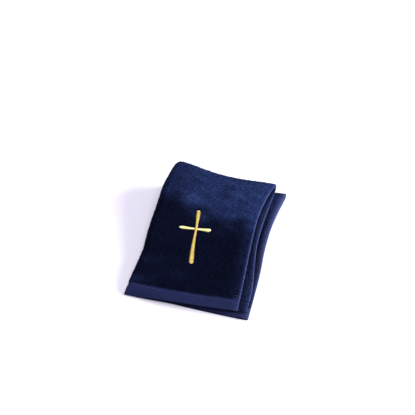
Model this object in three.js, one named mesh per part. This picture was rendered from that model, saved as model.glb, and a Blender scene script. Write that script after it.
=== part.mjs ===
import * as THREE from "three";

// A hand towel folded in four and lying flat, with a cross embroidered on its front panel.
// Millimetres: X across the panel, Y from the hems to the top fold, Z up from the surface below.
// Layer 1 is the front panel. Layers 1 and 2 join at the top fold, as do 3 and 4.
// The left fold joins 2 to 3 on the inside and 1 to 4 round the outside.

// Cloth
const bodyThickness = 3;
const bandThickness = 1.5;
const sideHemThickness = 2.4;
const bandDepth = 22.5;
const sideHemWidth = 12;
const thicknessStep = 4;

// Where the front panel's lower left corner lies in the part's frame
const cornerX = -105;
const cornerY = -143;

// Mean size of a folded panel, for distances from its edges
const panelWidth = 180;
const panelLength = 288;

// Each layer's hem line at the left fold and at the open edge, how far the hems bow out between,
// how far the hem shifts at the lower left corner, and each layer's height as a share of the pile at
// both edges
const hemBow = 2.5;
const layer1 = { hemLeft: -2, hemRight: -0.6, cornerShift: 2.6, shareLeft: 1, shareRight: 1, droop: 1 };
const layer2 = { hemLeft: 6, hemRight: 5, cornerShift: 5.6, shareLeft: 0.64, shareRight: 0.59, droop: 0 };
const layer3 = { hemLeft: 7, hemRight: -6, cornerShift: 4.6, shareLeft: 0.29, shareRight: 0.25, droop: 0 };
const layer4 = { hemLeft: 8, hemRight: -5, cornerShift: -5.6, shareLeft: 0, shareRight: 0, droop: 0 };

// The lower left corner, where the front panel droops onto the lowest one: its height there, how far
// across the corner reaches, how far up from the hem the droop and the shift go, and how far the inner
// fold is set back there
const cornerHeight = 2.75;
const cornerReach = 0.42;
const droopDepth = 11;
const shiftDepth = 45;
const innerSetBack = 3;

// The left fold, from the hem at along 0 to the top fold at along 1: its outline, and how far
// the outer and the inner fold bulge
const leftFold = [
  { along: 0, outline: -1.5, outer: 1.5, inner: 1.1 },
  { along: 0.16, outline: 3.1, outer: 7.6, inner: 3.2 },
  { along: 0.35, outline: 6.1, outer: 9.5, inner: 4.2 },
  { along: 0.52, outline: 3.9, outer: 11, inner: 5 },
  { along: 0.7, outline: 4.7, outer: 13, inner: 6 },
  { along: 0.85, outline: 4.8, outer: 15, inner: 7.5 },
  { along: 1, outline: 10.2, outer: 18, inner: 9.5 },
];

// The open right edge of each layer
const rightEdges = [
  { along: 0, edge1: 193.6, edge2: 207.6, edge3: 212.5, edge4: 210.5 },
  { along: 0.16, edge1: 191.1, edge2: 207.2, edge3: 212.4, edge4: 210 },
  { along: 0.35, edge1: 187.9, edge2: 199.8, edge3: 211.2, edge4: 208 },
  { along: 0.52, edge1: 185.2, edge2: 194, edge3: 208, edge4: 206 },
  { along: 0.7, edge1: 184.2, edge2: 193.8, edge3: 208, edge4: 206.8 },
  { along: 0.85, edge1: 188.2, edge2: 196, edge3: 211.2, edge4: 210.6 },
  { along: 1, edge1: 197.2, edge2: 198.6, edge3: 217, edge4: 217 },
];

// The front panel's height at its left and right edges, and its sag between them
const panelHeights = [
  { along: 0, left: 6.8, right: 13.5, sag: 0.3 },
  { along: 0.16, left: 16.5, right: 17, sag: 1.6 },
  { along: 0.35, left: 23.5, right: 20.5, sag: 2.4 },
  { along: 0.52, left: 31.5, right: 24, sag: 2 },
  { along: 0.7, left: 43, right: 27.5, sag: 0.6 },
  { along: 0.85, left: 52.5, right: 29.5, sag: 0 },
  { along: 1, left: 58, right: 30.5, sag: 0 },
];

// How the height falls from the left edge, across 0, to the right edge, across 1
const fallAcross = [
  { across: 0, share: 1 },
  { across: 0.12, share: 0.83 },
  { across: 0.3, share: 0.49 },
  { across: 0.55, share: 0.2 },
  { across: 1, share: 0 },
];

// The top fold of the upper and lower pair of layers: where it starts and how far it bulges
const topFold = [
  { across: 0, upperStart: 276.5, upperBulge: 9.6, lowerStart: 268, lowerBulge: 7.5 },
  { across: 0.5, upperStart: 279.5, upperBulge: 8, lowerStart: 278, lowerBulge: 6.5 },
  { across: 1, upperStart: 288.5, upperBulge: 6, lowerStart: 290.5, lowerBulge: 6 },
];

// Soft unevenness of the upper pair: place, run direction in degrees, reach along and across, height
const dents = [
  { x: 30, y: 98, turn: 8, reach: 48, width: 15, height: -1.6 },
  { x: 45, y: 62, turn: 12, reach: 40, width: 16, height: 1 },
  { x: 120, y: 205, turn: -6, reach: 55, width: 17, height: 1.4 },
  { x: 62, y: 228, turn: 20, reach: 30, width: 14, height: -1.1 },
  { x: 150, y: 110, turn: 70, reach: 60, width: 14, height: -1 },
  { x: 118, y: 52, turn: -15, reach: 38, width: 13, height: 0.8 },
];

// Embroidered cross: the places and widths of each bar's ends on the panel, and its width at the crossing
const barEnds = { startX: 55.6, startY: 150.2, startWidth: 6.6, endX: 110.2, endY: 157.2, endWidth: 7.4 };
const uprightEnds = { startX: 94.3, startY: 79.8, startWidth: 8.7, endX: 80.2, endY: 191.9, endWidth: 7.5 };
const crossing = { x: 84.9, y: 153.4 };
const narrowWidth = 4.3;
const stitchHeight = 1.1;
const stitchRim = 0.35;
const capTip = 0.35;
const seatGap = 0.7;
const bridgeGap = 0.43;
const bridgeReach = 9;

// Mesh steps
const acrossSteps = 12;
const leftFoldSteps = 10;
const bandSteps = 2;
const bodySteps = 12;
const topFoldSteps = 8;
const stitchSteps = 28;
const stitchAcross = 6;
const slopeStep = 0.002;
const solveRounds = 8;

const rad = Math.PI / 180;
const mix = (from, to, share) => from + (to - from) * share;
const ramp = (value, from, to) => THREE.MathUtils.smoothstep(value, from, to);

// A smooth curve through one column of a table
function column(table, key, name, at) {
  const last = table.length - 1;
  let row = 0;
  while (row < last - 1 && at > table[row + 1][key]) row += 1;
  const slopeAt = (index) => {
    const before = table[Math.max(index - 1, 0)];
    const after = table[Math.min(index + 1, last)];
    return (after[name] - before[name]) / (after[key] - before[key]);
  };
  const start = table[row];
  const end = table[row + 1];
  const span = end[key] - start[key];
  const t = (at - start[key]) / span;
  const t2 = t * t;
  const t3 = t2 * t;
  const fromStart = (2 * t3 - 3 * t2 + 1) * start[name] + (t3 - 2 * t2 + t) * span * slopeAt(row);
  const fromEnd = (3 * t2 - 2 * t3) * end[name] + (t3 - t2) * span * slopeAt(row + 1);
  return fromStart + fromEnd;
}

// Thinner at the end bands and the side hems
function thickness(across, along) {
  const fromHem = along * panelLength;
  const fromSide = (1 - across) * panelWidth;
  const sideShare = ramp(fromSide, sideHemWidth, sideHemWidth + thicknessStep);
  const bandShare = ramp(fromHem, bandDepth, bandDepth + thicknessStep);
  return mix(bandThickness, mix(sideHemThickness, bodyThickness, sideShare), bandShare);
}

// Sum of the soft dents at a place on the panel
function unevenness(across, along) {
  const x = across * panelWidth;
  const y = along * panelLength;
  let sum = 0;
  for (const dent of dents) {
    const c = Math.cos(dent.turn * rad);
    const s = Math.sin(dent.turn * rad);
    const run = ((x - dent.x) * c + (y - dent.y) * s) / dent.reach;
    const off = ((y - dent.y) * c - (x - dent.x) * s) / dent.width;
    sum += dent.height * Math.exp(-run * run - off * off);
  }
  return sum;
}

// A layer's hem line across the panel
function hemLine(layer, across) {
  return mix(layer.hemLeft, layer.hemRight, across) - hemBow * 4 * across * (1 - across);
}

// How strongly the lower left corner acts at a place, up to a distance from the hem
function cornerShare(across, along, depth) {
  return (1 - ramp(across, 0, cornerReach)) * (1 - ramp(along * panelLength, 0, depth));
}

// Middle height of a layer
function layerHeight(layer, across, along) {
  const left = column(panelHeights, "along", "left", along);
  const right = column(panelHeights, "along", "right", along);
  const sag = column(panelHeights, "along", "sag", along) * 4 * across * (1 - across);
  const fall = column(fallAcross, "across", "share", across);
  const top = mix(right, left, fall) - sag + unevenness(across, along);
  const bottom = thickness(across, along) / 2;
  const level = mix(bottom, top, mix(layer.shareLeft, layer.shareRight, across));
  return mix(level, cornerHeight, layer.droop * cornerShare(across, along, droopDepth));
}

// A place on the folded sheet's middle surface. The column is on the upper pair, on the lower pair or
// in the left fold between them, and the face goes from 1 on the outer layers to -1 on the inner ones.
function sheetPoint(columnAt, rowAt) {
  const { along, face, bulge } = rowAt;
  const faceShare = (face + 1) / 2;
  const foldOutline = column(leftFold, "along", "outline", along);
  const outerBulge = column(leftFold, "along", "outer", along);
  const innerBulge = column(leftFold, "along", "inner", along);
  const shiftShare = cornerShare(columnAt.across, along, shiftDepth);
  const foldX = foldOutline + outerBulge + innerSetBack * shiftShare * (1 - faceShare);
  const edge = (name) => column(rightEdges, "along", name, along);
  const fold = (name) => column(topFold, "across", name, columnAt.across);
  const upperZ = mix(
    layerHeight(layer2, columnAt.across, along),
    layerHeight(layer1, columnAt.across, along),
    faceShare,
  );
  const lowerZ = mix(
    layerHeight(layer3, columnAt.across, along),
    layerHeight(layer4, columnAt.across, along),
    faceShare,
  );
  const layerY = (layer, start) => {
    return mix(hemLine(layer, columnAt.across), start, along) + layer.cornerShift * shiftShare;
  };
  const upperStart = fold("upperStart");
  const lowerStart = fold("lowerStart");
  const upperY = mix(layerY(layer2, upperStart), layerY(layer1, upperStart), faceShare);
  const lowerY = mix(layerY(layer3, lowerStart), layerY(layer4, lowerStart), faceShare);
  const upperEdge = mix(edge("edge2"), edge("edge1"), faceShare);
  const lowerEdge = mix(edge("edge3"), edge("edge4"), faceShare);
  const side = (1 - Math.sin(columnAt.turn)) / 2;
  const x = mix(foldX, mix(upperEdge, lowerEdge, side), columnAt.across);
  const y = mix(upperY + fold("upperBulge") * bulge, lowerY + fold("lowerBulge") * bulge, side);
  const z = mix(upperZ, lowerZ, side);
  const foldBulge = mix(innerBulge, outerBulge, faceShare) * Math.cos(columnAt.turn);
  return new THREE.Vector3(cornerX + x - foldBulge, cornerY + y, z);
}

// Columns from the lower pair's right edge, round the left fold, to the upper pair's right edge
function sheetColumns() {
  const columns = [];
  const hemShare = 1 - sideHemWidth / panelWidth;
  const bodyShare = hemShare - thicknessStep / panelWidth;
  const acrossList = [1, hemShare];
  for (let i = 0; i < acrossSteps - 1; i += 1) {
    acrossList.push(bodyShare * (1 - i / (acrossSteps - 1)));
  }
  for (const across of acrossList) columns.push({ across, turn: -Math.PI / 2 });
  for (let i = 0; i <= leftFoldSteps; i += 1) {
    columns.push({ across: 0, turn: Math.PI * (i / leftFoldSteps - 0.5) });
  }
  for (const across of acrossList.reverse()) columns.push({ across, turn: Math.PI / 2 });
  return columns;
}

// Rows from the outer layers' hem, over the top fold, to the inner layers' hem
function sheetRows() {
  const rows = [];
  const bandShare = bandDepth / panelLength;
  const bodyShare = bandShare + thicknessStep / panelLength;
  const alongList = [];
  for (let i = 0; i <= bandSteps; i += 1) alongList.push((bandShare * i) / bandSteps);
  for (let i = 0; i < bodySteps; i += 1) alongList.push(mix(bodyShare, 1, i / bodySteps));
  for (const along of alongList) rows.push({ along, face: 1, bulge: 0 });
  for (let i = 0; i <= topFoldSteps; i += 1) {
    const turn = (Math.PI * i) / topFoldSteps;
    rows.push({ along: 1, face: Math.cos(turn), bulge: Math.sin(turn) });
  }
  for (const along of alongList.reverse()) rows.push({ along, face: -1, bulge: 0 });
  return rows;
}

// A closed mesh between two matching grids of points, whose first grid faces along columns cross rows
function closedGrid(front, back) {
  const rowCount = front.length;
  const columnCount = front[0].length;
  const positions = [];
  for (const grid of [front, back]) {
    for (const row of grid) {
      for (const point of row) positions.push(point.x, point.y, point.z);
    }
  }
  const frontAt = (r, c) => r * columnCount + c;
  const backAt = (r, c) => rowCount * columnCount + frontAt(r, c);
  const faces = [];
  const quad = (a, b, c, d) => faces.push(a, b, c, a, c, d);
  const wall = (r0, c0, r1, c1) => {
    quad(frontAt(r0, c0), backAt(r0, c0), backAt(r1, c1), frontAt(r1, c1));
  };
  for (let r = 0; r + 1 < rowCount; r += 1) {
    for (let c = 0; c + 1 < columnCount; c += 1) {
      quad(frontAt(r, c), frontAt(r, c + 1), frontAt(r + 1, c + 1), frontAt(r + 1, c));
      quad(backAt(r, c), backAt(r + 1, c), backAt(r + 1, c + 1), backAt(r, c + 1));
    }
    wall(r, columnCount - 1, r + 1, columnCount - 1);
    wall(r + 1, 0, r, 0);
  }
  for (let c = 0; c + 1 < columnCount; c += 1) {
    wall(0, c, 0, c + 1);
    wall(rowCount - 1, c + 1, rowCount - 1, c);
  }
  const geometry = new THREE.BufferGeometry();
  geometry.setAttribute("position", new THREE.Float32BufferAttribute(positions, 3));
  geometry.setIndex(faces);
  geometry.computeVertexNormals();
  return geometry;
}

// The folded sheet, its middle surface thickened to both sides and its underside laid flat
function towelGeometry() {
  const columns = sheetColumns();
  const rows = sheetRows();
  const middle = rows.map((row) => columns.map((at) => sheetPoint(at, row)));
  const outside = [];
  const inside = [];
  for (let r = 0; r < rows.length; r += 1) {
    outside.push([]);
    inside.push([]);
    for (let c = 0; c < columns.length; c += 1) {
      const left = middle[r][Math.max(c - 1, 0)];
      const right = middle[r][Math.min(c + 1, columns.length - 1)];
      const below = middle[Math.max(r - 1, 0)][c];
      const above = middle[Math.min(r + 1, rows.length - 1)][c];
      const acrossStep = right.clone().sub(left);
      const normal = acrossStep.cross(above.clone().sub(below)).normalize();
      const half = thickness(columns[c].across, rows[r].along) / 2;
      const outer = middle[r][c].clone().addScaledVector(normal, half);
      const inner = middle[r][c].clone().addScaledVector(normal, -half);
      const onGround = columns[c].turn === -Math.PI / 2 && rows[r].face === 1;
      if (onGround) outer.z = 0;
      outside[r].push(outer);
      inside[r].push(inner);
    }
  }
  return closedGrid(outside, inside);
}

// Height of the front panel's upper face over a place on the panel
function panelTop(x, y) {
  let across = x / panelWidth;
  let along = y / panelLength;
  for (let i = 0; i < solveRounds; i += 1) {
    const foldX = column(leftFold, "along", "outline", along) + column(leftFold, "along", "outer", along);
    across = (x - foldX) / (column(rightEdges, "along", "edge1", along) - foldX);
    const hem = hemLine(layer1, across);
    along = (y - hem) / (column(topFold, "across", "upperStart", across) - hem);
  }
  const here = layerHeight(layer1, across, along);
  const slopeX = (layerHeight(layer1, across + slopeStep, along) - here) / (slopeStep * panelWidth);
  const slopeY = (layerHeight(layer1, across, along + slopeStep) - here) / (slopeStep * panelLength);
  const lean = Math.sqrt(1 + slopeX * slopeX + slopeY * slopeY);
  return here + (bodyThickness / 2) * lean;
}

// One padded bar of satin stitch along the panel, bridging what it crosses
function stitchGeometry(ends, bridgeHeight) {
  const start = new THREE.Vector2(ends.startX, ends.startY);
  const end = new THREE.Vector2(ends.endX, ends.endY);
  const run = end.clone().sub(start);
  const length = run.length();
  const run1 = run.clone().divideScalar(length);
  const side = new THREE.Vector2(-run1.y, run1.x);
  const crossAt = new THREE.Vector2(crossing.x, crossing.y).sub(start).dot(run1);
  const upper = [];
  const lower = [];
  for (let i = 0; i <= stitchSteps; i += 1) {
    const s = (length * (1 - Math.cos((Math.PI * i) / stitchSteps))) / 2;
    const armLength = s < crossAt ? crossAt : length - crossAt;
    const endWidth = s < crossAt ? ends.startWidth : ends.endWidth;
    const capRadius = endWidth / 2;
    const flare = ramp(Math.abs(s - crossAt), 0, armLength - capRadius);
    const toEnd = Math.min(s, length - s);
    const capShare = Math.max(capRadius - toEnd, 0) / capRadius;
    const round = Math.max(Math.sqrt(1 - capShare * capShare), capTip);
    const halfWidth = (mix(narrowWidth, endWidth, flare) / 2) * round;
    const lift = seatGap + bridgeHeight * (1 - ramp(Math.abs(s - crossAt), narrowWidth / 2, bridgeReach));
    upper.push([]);
    lower.push([]);
    for (let j = 0; j <= stitchAcross; j += 1) {
      const offset = 1 - (2 * j) / stitchAcross;
      const place = start.clone().addScaledVector(run1, s).addScaledVector(side, offset * halfWidth);
      const base = panelTop(place.x, place.y) + lift;
      const crown = mix(stitchRim, stitchHeight, Math.sqrt(1 - offset * offset) * round);
      lower[i].push(new THREE.Vector3(cornerX + place.x, cornerY + place.y, base));
      upper[i].push(new THREE.Vector3(cornerX + place.x, cornerY + place.y, base + crown));
    }
  }
  return closedGrid(upper, lower);
}

function piece(name, geometry, color, roughness) {
  const material = new THREE.MeshStandardMaterial({ color, roughness });
  const mesh = new THREE.Mesh(geometry, material);
  mesh.name = name;
  return mesh;
}

const towel = piece("towel", towelGeometry(), 0x18204a, 0.95);
const crossBar = piece("cross_bar", stitchGeometry(barEnds, 0), 0xe8cf62, 0.45);
const crossUpright = piece(
  "cross_upright",
  stitchGeometry(uprightEnds, stitchHeight + bridgeGap),
  0xd9a935,
  0.45,
);

const part = new THREE.Group();
part.add(towel, crossBar, crossUpright);
export default part;
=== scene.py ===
import math

import bpy
import numpy as np
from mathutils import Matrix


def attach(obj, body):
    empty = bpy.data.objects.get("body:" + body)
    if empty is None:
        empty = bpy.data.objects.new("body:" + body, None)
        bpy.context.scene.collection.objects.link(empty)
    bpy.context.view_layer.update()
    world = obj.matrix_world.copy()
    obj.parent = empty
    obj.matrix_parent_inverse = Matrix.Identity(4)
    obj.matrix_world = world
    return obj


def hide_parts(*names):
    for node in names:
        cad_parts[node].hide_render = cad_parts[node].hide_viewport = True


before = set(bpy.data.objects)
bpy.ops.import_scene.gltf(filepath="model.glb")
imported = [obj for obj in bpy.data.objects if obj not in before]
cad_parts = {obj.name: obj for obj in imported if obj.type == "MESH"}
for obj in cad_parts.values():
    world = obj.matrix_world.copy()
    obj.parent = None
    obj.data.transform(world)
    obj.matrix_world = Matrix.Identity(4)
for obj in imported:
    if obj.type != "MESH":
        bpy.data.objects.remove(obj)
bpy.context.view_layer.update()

mm = 0.001
farAway = 1e3  # mm, out of reach of any edge
flatTurn, outerFace, innerFace = 1.5, 0.999, -0.9  # limits that tell flat layers from folds
dice = np.random.default_rng(1847)

# the fold: two layers meet at the top fold, and the left fold wraps the inner pair; sizes in mm
towel = {
    "flat": (0.405, 0.585),  # metres
    "corner": (-105.0, -143.0),  # front panel's lower left corner
    "panel": (180.0, 288.0),  # mean width and length of a folded panel
    "bodyThick": 3.0,
    "bandThick": 1.5,
    "hemThick": 2.5,
    "bandDepth": 22.5,
    "hemWidth": 12.0,
    "step": 2.2,  # how gently the pile rises beside band and hem
    "stitchLine": 10.3,  # side seam of the upper pair, from the open edge
    "ribbedHem": 8.4,  # flat hem of the lower pair, from the open edge
    "ribSoft": 0.8,
    "bandSeam": 19.4,  # end seam, from the hem
    "seamDip": 0.55,
    "seamWidth": (0.9, 0.8),  # side seam, end seam
    "seamShare": (0.2, 0.45),  # dip of the side seam under the pile, and of the end seam
    "cornerHeight": 34.0,  # the side seam shows up to here, then the pile hides it
    "roundEdge": 1.1,
    "hemBow": 2.5,
    "droopHeight": 2.75,  # front panel's height where its lower left corner droops
    "droopDepth": 11.0,
    "droopReach": 0.42,  # as a share of the panel's width
    "shiftDepth": 45.0,
    "innerSetBack": 3.0,  # inner fold, at the lower left corner
    "fine": 2.2,  # mesh step on the front panel
    "coarse": 4.6,  # mesh step on the hidden layers
    "foldSteps": 25,
    "pucker": 0.22,
    "hemPucker": (9.0, 13.0, 41),  # reach from the edge, size and seed of the waves
    "bandPucker": (11.0, 17.0, 42),
    "bandPuckerShare": 0.7,
    "puckerStretch": 0.3,
    "bandWaver": (0.45, 8.0, 5),  # line of the pile over the band: height, size, seed
    "pileUneven": 0.22,
    "pileWaves": ((1.0, 11.0, 8), (0.6, 5.5, 9)),  # share, size, seed
    "seenReach": 60.0,  # inner layers show this far in from the open edge
    "groundRim": 0.99,  # the underside is flat where its edge is this full
}
# hem and share of the stack's height are given at the left fold and at the open edge
layerTable = {
    "front": {"hem": (-2.0, -0.6), "cornerShift": 2.6, "share": (1.0, 1.0), "droop": 1.0,
              "foldStart": "upperStart"},
    "second": {"hem": (6.0, 5.0), "cornerShift": 5.6, "share": (0.64, 0.59), "droop": 0.0,
               "foldStart": "upperStart"},
    "third": {"hem": (7.0, -6.0), "cornerShift": 4.6, "share": (0.29, 0.25), "droop": 0.0,
              "foldStart": "lowerStart"},
    "ground": {"hem": (8.0, -5.0), "cornerShift": -5.6, "share": (0.0, 0.0), "droop": 0.0,
               "foldStart": "lowerStart"},
}
stations = (0, 0.16, 0.35, 0.52, 0.7, 0.85, 1)  # from hem to top fold, as shares of the length
leftFold = {
    "along": stations,
    "outline": (-1.5, 3.1, 6.1, 3.9, 4.7, 4.8, 10.2),
    "outer": (1.2, 7.6, 9.5, 11, 13, 15, 18),  # as tight as the band allows at the hem
    "inner": (1.1, 3.2, 4.2, 5, 6, 7.5, 9.5),
}
openEdges = {
    "along": stations,
    "front": (193.6, 191.1, 187.9, 185.2, 184.2, 188.2, 197.2),
    "second": (207.6, 207.2, 199.8, 194, 193.8, 196, 198.6),
    "third": (212.5, 212.4, 211.2, 208, 208, 211.2, 217),
    "ground": (210.5, 210, 208, 206, 206.8, 210.6, 217),
}
panelHeights = {
    "along": stations,
    "left": (6.8, 16.5, 23.5, 31.5, 43, 52.5, 58),
    "right": (13.5, 17, 20.5, 24, 27.5, 29.5, 30.5),
    "sag": (0.3, 1.6, 2.4, 2, 0.6, 0, 0),
}
fallAcross = {
    "across": (0, 0.12, 0.3, 0.55, 1),
    "share": (1, 0.83, 0.49, 0.2, 0),
}
topFold = {
    "across": (0, 0.5, 1),
    "upperStart": (276.5, 279.5, 288.5),
    "upperBulge": (9.6, 8, 6),
    "lowerStart": (268, 278, 290.5),
    "lowerBulge": (7.5, 6.5, 6),
}
# soft creases of the upper pair: x, y, turn in degrees, reach, width, height
creases = (
    (30, 98, 8, 48, 15, -1.6),
    (45, 62, 12, 40, 16, 1.0),
    (120, 205, -6, 55, 17, 1.4),
    (62, 228, 20, 30, 14, -1.1),
    (150, 110, 70, 60, 14, -1.0),
    (118, 52, -15, 38, 13, 0.8),
)


def mix(a, b, share):
    return a + (b - a) * share


def ramp(value, low, high):
    t = np.clip((value - low) / (high - low), 0, 1)
    return t * t * (3 - 2 * t)


def bell(distance, reach):
    return np.exp(-(distance / reach) ** 2)


def bow(height, at):
    return height * 4 * at * (1 - at)


def unit(vectors):
    return vectors / np.linalg.norm(vectors, axis=-1, keepdims=True)


# soft oval spot, 1 in its middle
def spot(x, y, middleX, middleY, turn, reach, width):
    c, s = math.cos(math.radians(turn)), math.sin(math.radians(turn))
    run = ((x - middleX) * c + (y - middleY) * s) / reach
    off = ((y - middleY) * c - (x - middleX) * s) / width
    return np.exp(-run * run - off * off)


# smooth curve through one column of a table, whose first column says where
def curve(table, name, at):
    xs, ys = np.array(next(iter(table.values())), float), np.array(table[name], float)
    count = len(xs)
    before = np.maximum(np.arange(count) - 1, 0)
    after = np.minimum(np.arange(count) + 1, count - 1)
    slope = (ys[after] - ys[before]) / (xs[after] - xs[before])
    i = np.clip(np.searchsorted(xs, at) - 1, 0, count - 2)
    span = xs[i + 1] - xs[i]
    t = (at - xs[i]) / span
    t2, t3 = t * t, t * t * t
    rise = (2 * t3 - 3 * t2 + 1) * ys[i] + (t3 - 2 * t2 + t) * span * slope[i]
    return rise + (3 * t2 - 2 * t3) * ys[i + 1] + (t3 - t2) * span * slope[i + 1]


# smooth random waves in the plane, one size of wave for each call
def waves(x, y, size, seed, turns=14, spread=(0.75, 1.4)):
    spin = np.random.default_rng(seed)
    total = np.zeros(np.shape(x))
    for _ in range(turns):
        angle, phase = spin.uniform(0, 2 * math.pi, 2)
        pitch = size * spin.uniform(*spread)
        run = x * math.cos(angle) + y * math.sin(angle)
        total = total + np.sin(run * 2 * math.pi / pitch + phase)
    return total / math.sqrt(turns / 2)


# waves of several sizes: share, size and seed of each
def waveSum(x, y, table, start=0):
    total = start
    for share, size, seed in table:
        total = total + share * waves(x, y, size, seed)
    return total


# the pile rises beyond the hem or the band
def pileRise(distance, name):
    return ramp(distance, towel[name], towel[name] + towel["step"])


def clothThickness(across, along):
    side = pileRise((1 - across) * towel["panel"][0], "hemWidth")
    band = pileRise(along * towel["panel"][1], "bandDepth")
    return mix(towel["bandThick"], mix(towel["hemThick"], towel["bodyThick"], side), band)


def creaseHeight(across, along):
    x, y = across * towel["panel"][0], along * towel["panel"][1]
    return sum(height * spot(x, y, *oval) for *oval, height in creases)


# how strongly the lower left corner acts, up to a distance from the hem
def cornerShare(across, along, depth):
    low = 1 - ramp(along * towel["panel"][1], 0, depth)
    return (1 - ramp(across, 0, towel["droopReach"])) * low


def layerHeight(layer, across, along):
    left = curve(panelHeights, "left", along)
    right = curve(panelHeights, "right", along)
    sag = bow(curve(panelHeights, "sag", along), across)
    fall = curve(fallAcross, "share", across)
    top = mix(right, left, fall) - sag + creaseHeight(across, along)
    ground = clothThickness(across, along) / 2
    level = mix(ground, top, mix(*layerTable[layer]["share"], across))
    droop = layerTable[layer]["droop"] * cornerShare(across, along, towel["droopDepth"])
    return mix(level, towel["droopHeight"], droop)


def hemLine(layer, across):
    return mix(*layerTable[layer]["hem"], across) - bow(towel["hemBow"], across)


# middle of the cloth: turn is 90 degrees on the upper pair and -90 on the lower pair,
# face is 1 on the outer layers and -1 on the inner ones
def clothPoint(across, turn, along, face, bulge):
    outerShare = (face + 1) / 2
    outer = curve(leftFold, "outer", along)
    inner = curve(leftFold, "inner", along)
    shift = cornerShare(across, along, towel["shiftDepth"])
    setBack = towel["innerSetBack"] * shift * (1 - outerShare)
    foldX = curve(leftFold, "outline", along) + outer + setBack
    edge = {name: curve(openEdges, name, along) for name in layerTable}
    fold = {name: curve(topFold, name, across) for name in topFold if name != "across"}
    z = {name: layerHeight(name, across, along) for name in layerTable}
    y = {name: mix(hemLine(name, across), fold[row["foldStart"]], along) + row["cornerShift"] * shift
         for name, row in layerTable.items()}
    lower = (1 - np.sin(turn)) / 2

    def upperAndLower(table):
        upper = mix(table["second"], table["front"], outerShare)
        return upper, mix(table["third"], table["ground"], outerShare)

    upperY, lowerY = upperAndLower(y)
    openX = mix(*upperAndLower(edge), lower)
    x = mix(foldX, openX, across) - mix(inner, outer, outerShare) * np.cos(turn)
    y = mix(upperY + fold["upperBulge"] * bulge, lowerY + fold["lowerBulge"] * bulge, lower)
    place = np.stack(np.broadcast_arrays(x, y, mix(*upperAndLower(z), lower)), -1)
    return place + np.array([*towel["corner"], 0.0])


# embroidered cross: places on the panel, mm
cross = {
    "barStart": {"place": (55.6, 150.2), "width": 6.2, "cap": 6.0},
    "barEnd": {"place": (110.2, 157.3), "width": 7.5, "cap": 3.4},
    "uprightStart": {"place": (94.3, 80.0), "width": 8.5, "cap": 4.4},
    "uprightEnd": {"place": (80.3, 191.9), "width": 7.5, "cap": 2.8},
    "crossing": (84.9, 153.4),
    "narrow": 4.0,
    "flareEnd": 0.6,  # the arm is at full width this share of its cap before the cap
    "blunt": 0.03,
    "bow": 1.2,  # sideways bow of the upright below the crossing
    "farFade": 1.7,  # the crossing's colour fades this much sooner on the far arm
    "padHeight": 1.1,
    "padShare": 0.35,  # height left where the bar is thin
    "padWidth": 3.0,
    "dome": 0.4,
    "tuck": 0.25,  # how deep the ends of the stitches go in
    "threadPitch": 0.4,
    "threadRadius": 0.235,
    "points": 11,
    "sides": 6,
    "slant": 0.12,
    "ragged": 0.035,
    "stray": (0.03, 0.02),  # along the bar, upwards
    "bridge": 0.95,  # how far the upright rises over the bar
    "bridgeReach": 8.0,
    "sink": 0.5,  # how far the stitches pull the pile in
    "sinkReach": 5.0,
    "glint": 0.55,
    "glintWaves": ((0.17, 5.2, 51), (0.15, 2.6, 52)),  # share, size, seed
    "glintStray": 0.18,
}


# distance from the cross's outline at panel places
def crossDistance(x, y):
    near = np.full(np.shape(x), farAway)
    for start, end in (("barStart", "barEnd"), ("uprightStart", "uprightEnd")):
        a, b = np.array(cross[start]["place"]), np.array(cross[end]["place"])
        run = b - a
        length = np.hypot(*run)
        s = np.clip(((x - a[0]) * run[0] + (y - a[1]) * run[1]) / length, 0, length)
        fromLine = np.hypot(x - a[0] - run[0] * s / length, y - a[1] - run[1] * s / length)
        near = np.minimum(near, fromLine - cross["narrow"] / 2)
    return np.maximum(near, 0)


# mesh lines: close together at edges and seams, then even steps
meshLines = {
    "edge": (0, 0.1, 0.35, 0.7, 1.15, 2, 3.6, 5.6, 7.6),
    "band": (9.6, 12, 14.5, 16.6),
    "seam": (-1.3, -0.7, 0, 0.7, 1.3),
    "rise": (0, 0.6, 1.1, 1.6, 2.2, 3.4),  # where the pile begins
}


def edgeSteps(depth, seam, end, step, more=()):
    close = [*meshLines["edge"], *more]
    close += [seam + d for d in meshLines["seam"]]
    close += [depth + d for d in meshLines["rise"]]
    close = sorted(close)
    count = int(round((end - close[-1]) / step))
    return np.array(close + list(np.linspace(close[-1], end, count + 1)[1:]))


def clothGrid():
    width, length = towel["panel"]

    def sideLines(step):
        return 1 - edgeSteps(towel["hemWidth"], towel["stitchLine"], width, step) / width

    def endLines(step):
        lines = edgeSteps(towel["bandDepth"], towel["bandSeam"], length, step, meshLines["band"])
        return lines / length

    fineAcross, roughAcross = sideLines(towel["fine"]), sideLines(towel["coarse"])
    bend = np.linspace(-math.pi / 2, math.pi / 2, towel["foldSteps"])[1:-1]
    across = np.concatenate([roughAcross, bend * 0, fineAcross[::-1]])
    turn = np.concatenate([roughAcross * 0 - math.pi / 2, bend, fineAcross * 0 + math.pi / 2])
    fineAlong, roughAlong = endLines(towel["fine"]), endLines(towel["coarse"])
    over = np.linspace(0, math.pi, towel["foldSteps"])[1:-1]
    along = np.concatenate([fineAlong, over * 0 + 1, roughAlong[::-1]])
    face = np.concatenate([fineAlong * 0 + 1, np.cos(over), roughAlong * 0 - 1])
    bulge = np.concatenate([fineAlong * 0, np.sin(over), roughAlong * 0])
    return across[None, :], turn[None, :], along[:, None], face[:, None], bulge[:, None]


def gridNormals(grid):
    rowStep, columnStep = np.gradient(grid, axis=0), np.gradient(grid, axis=1)
    return unit(np.cross(columnStep, rowStep))


def runLength(points):
    return np.concatenate([[0], np.cumsum(np.linalg.norm(np.diff(points, axis=0), axis=1))])


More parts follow.
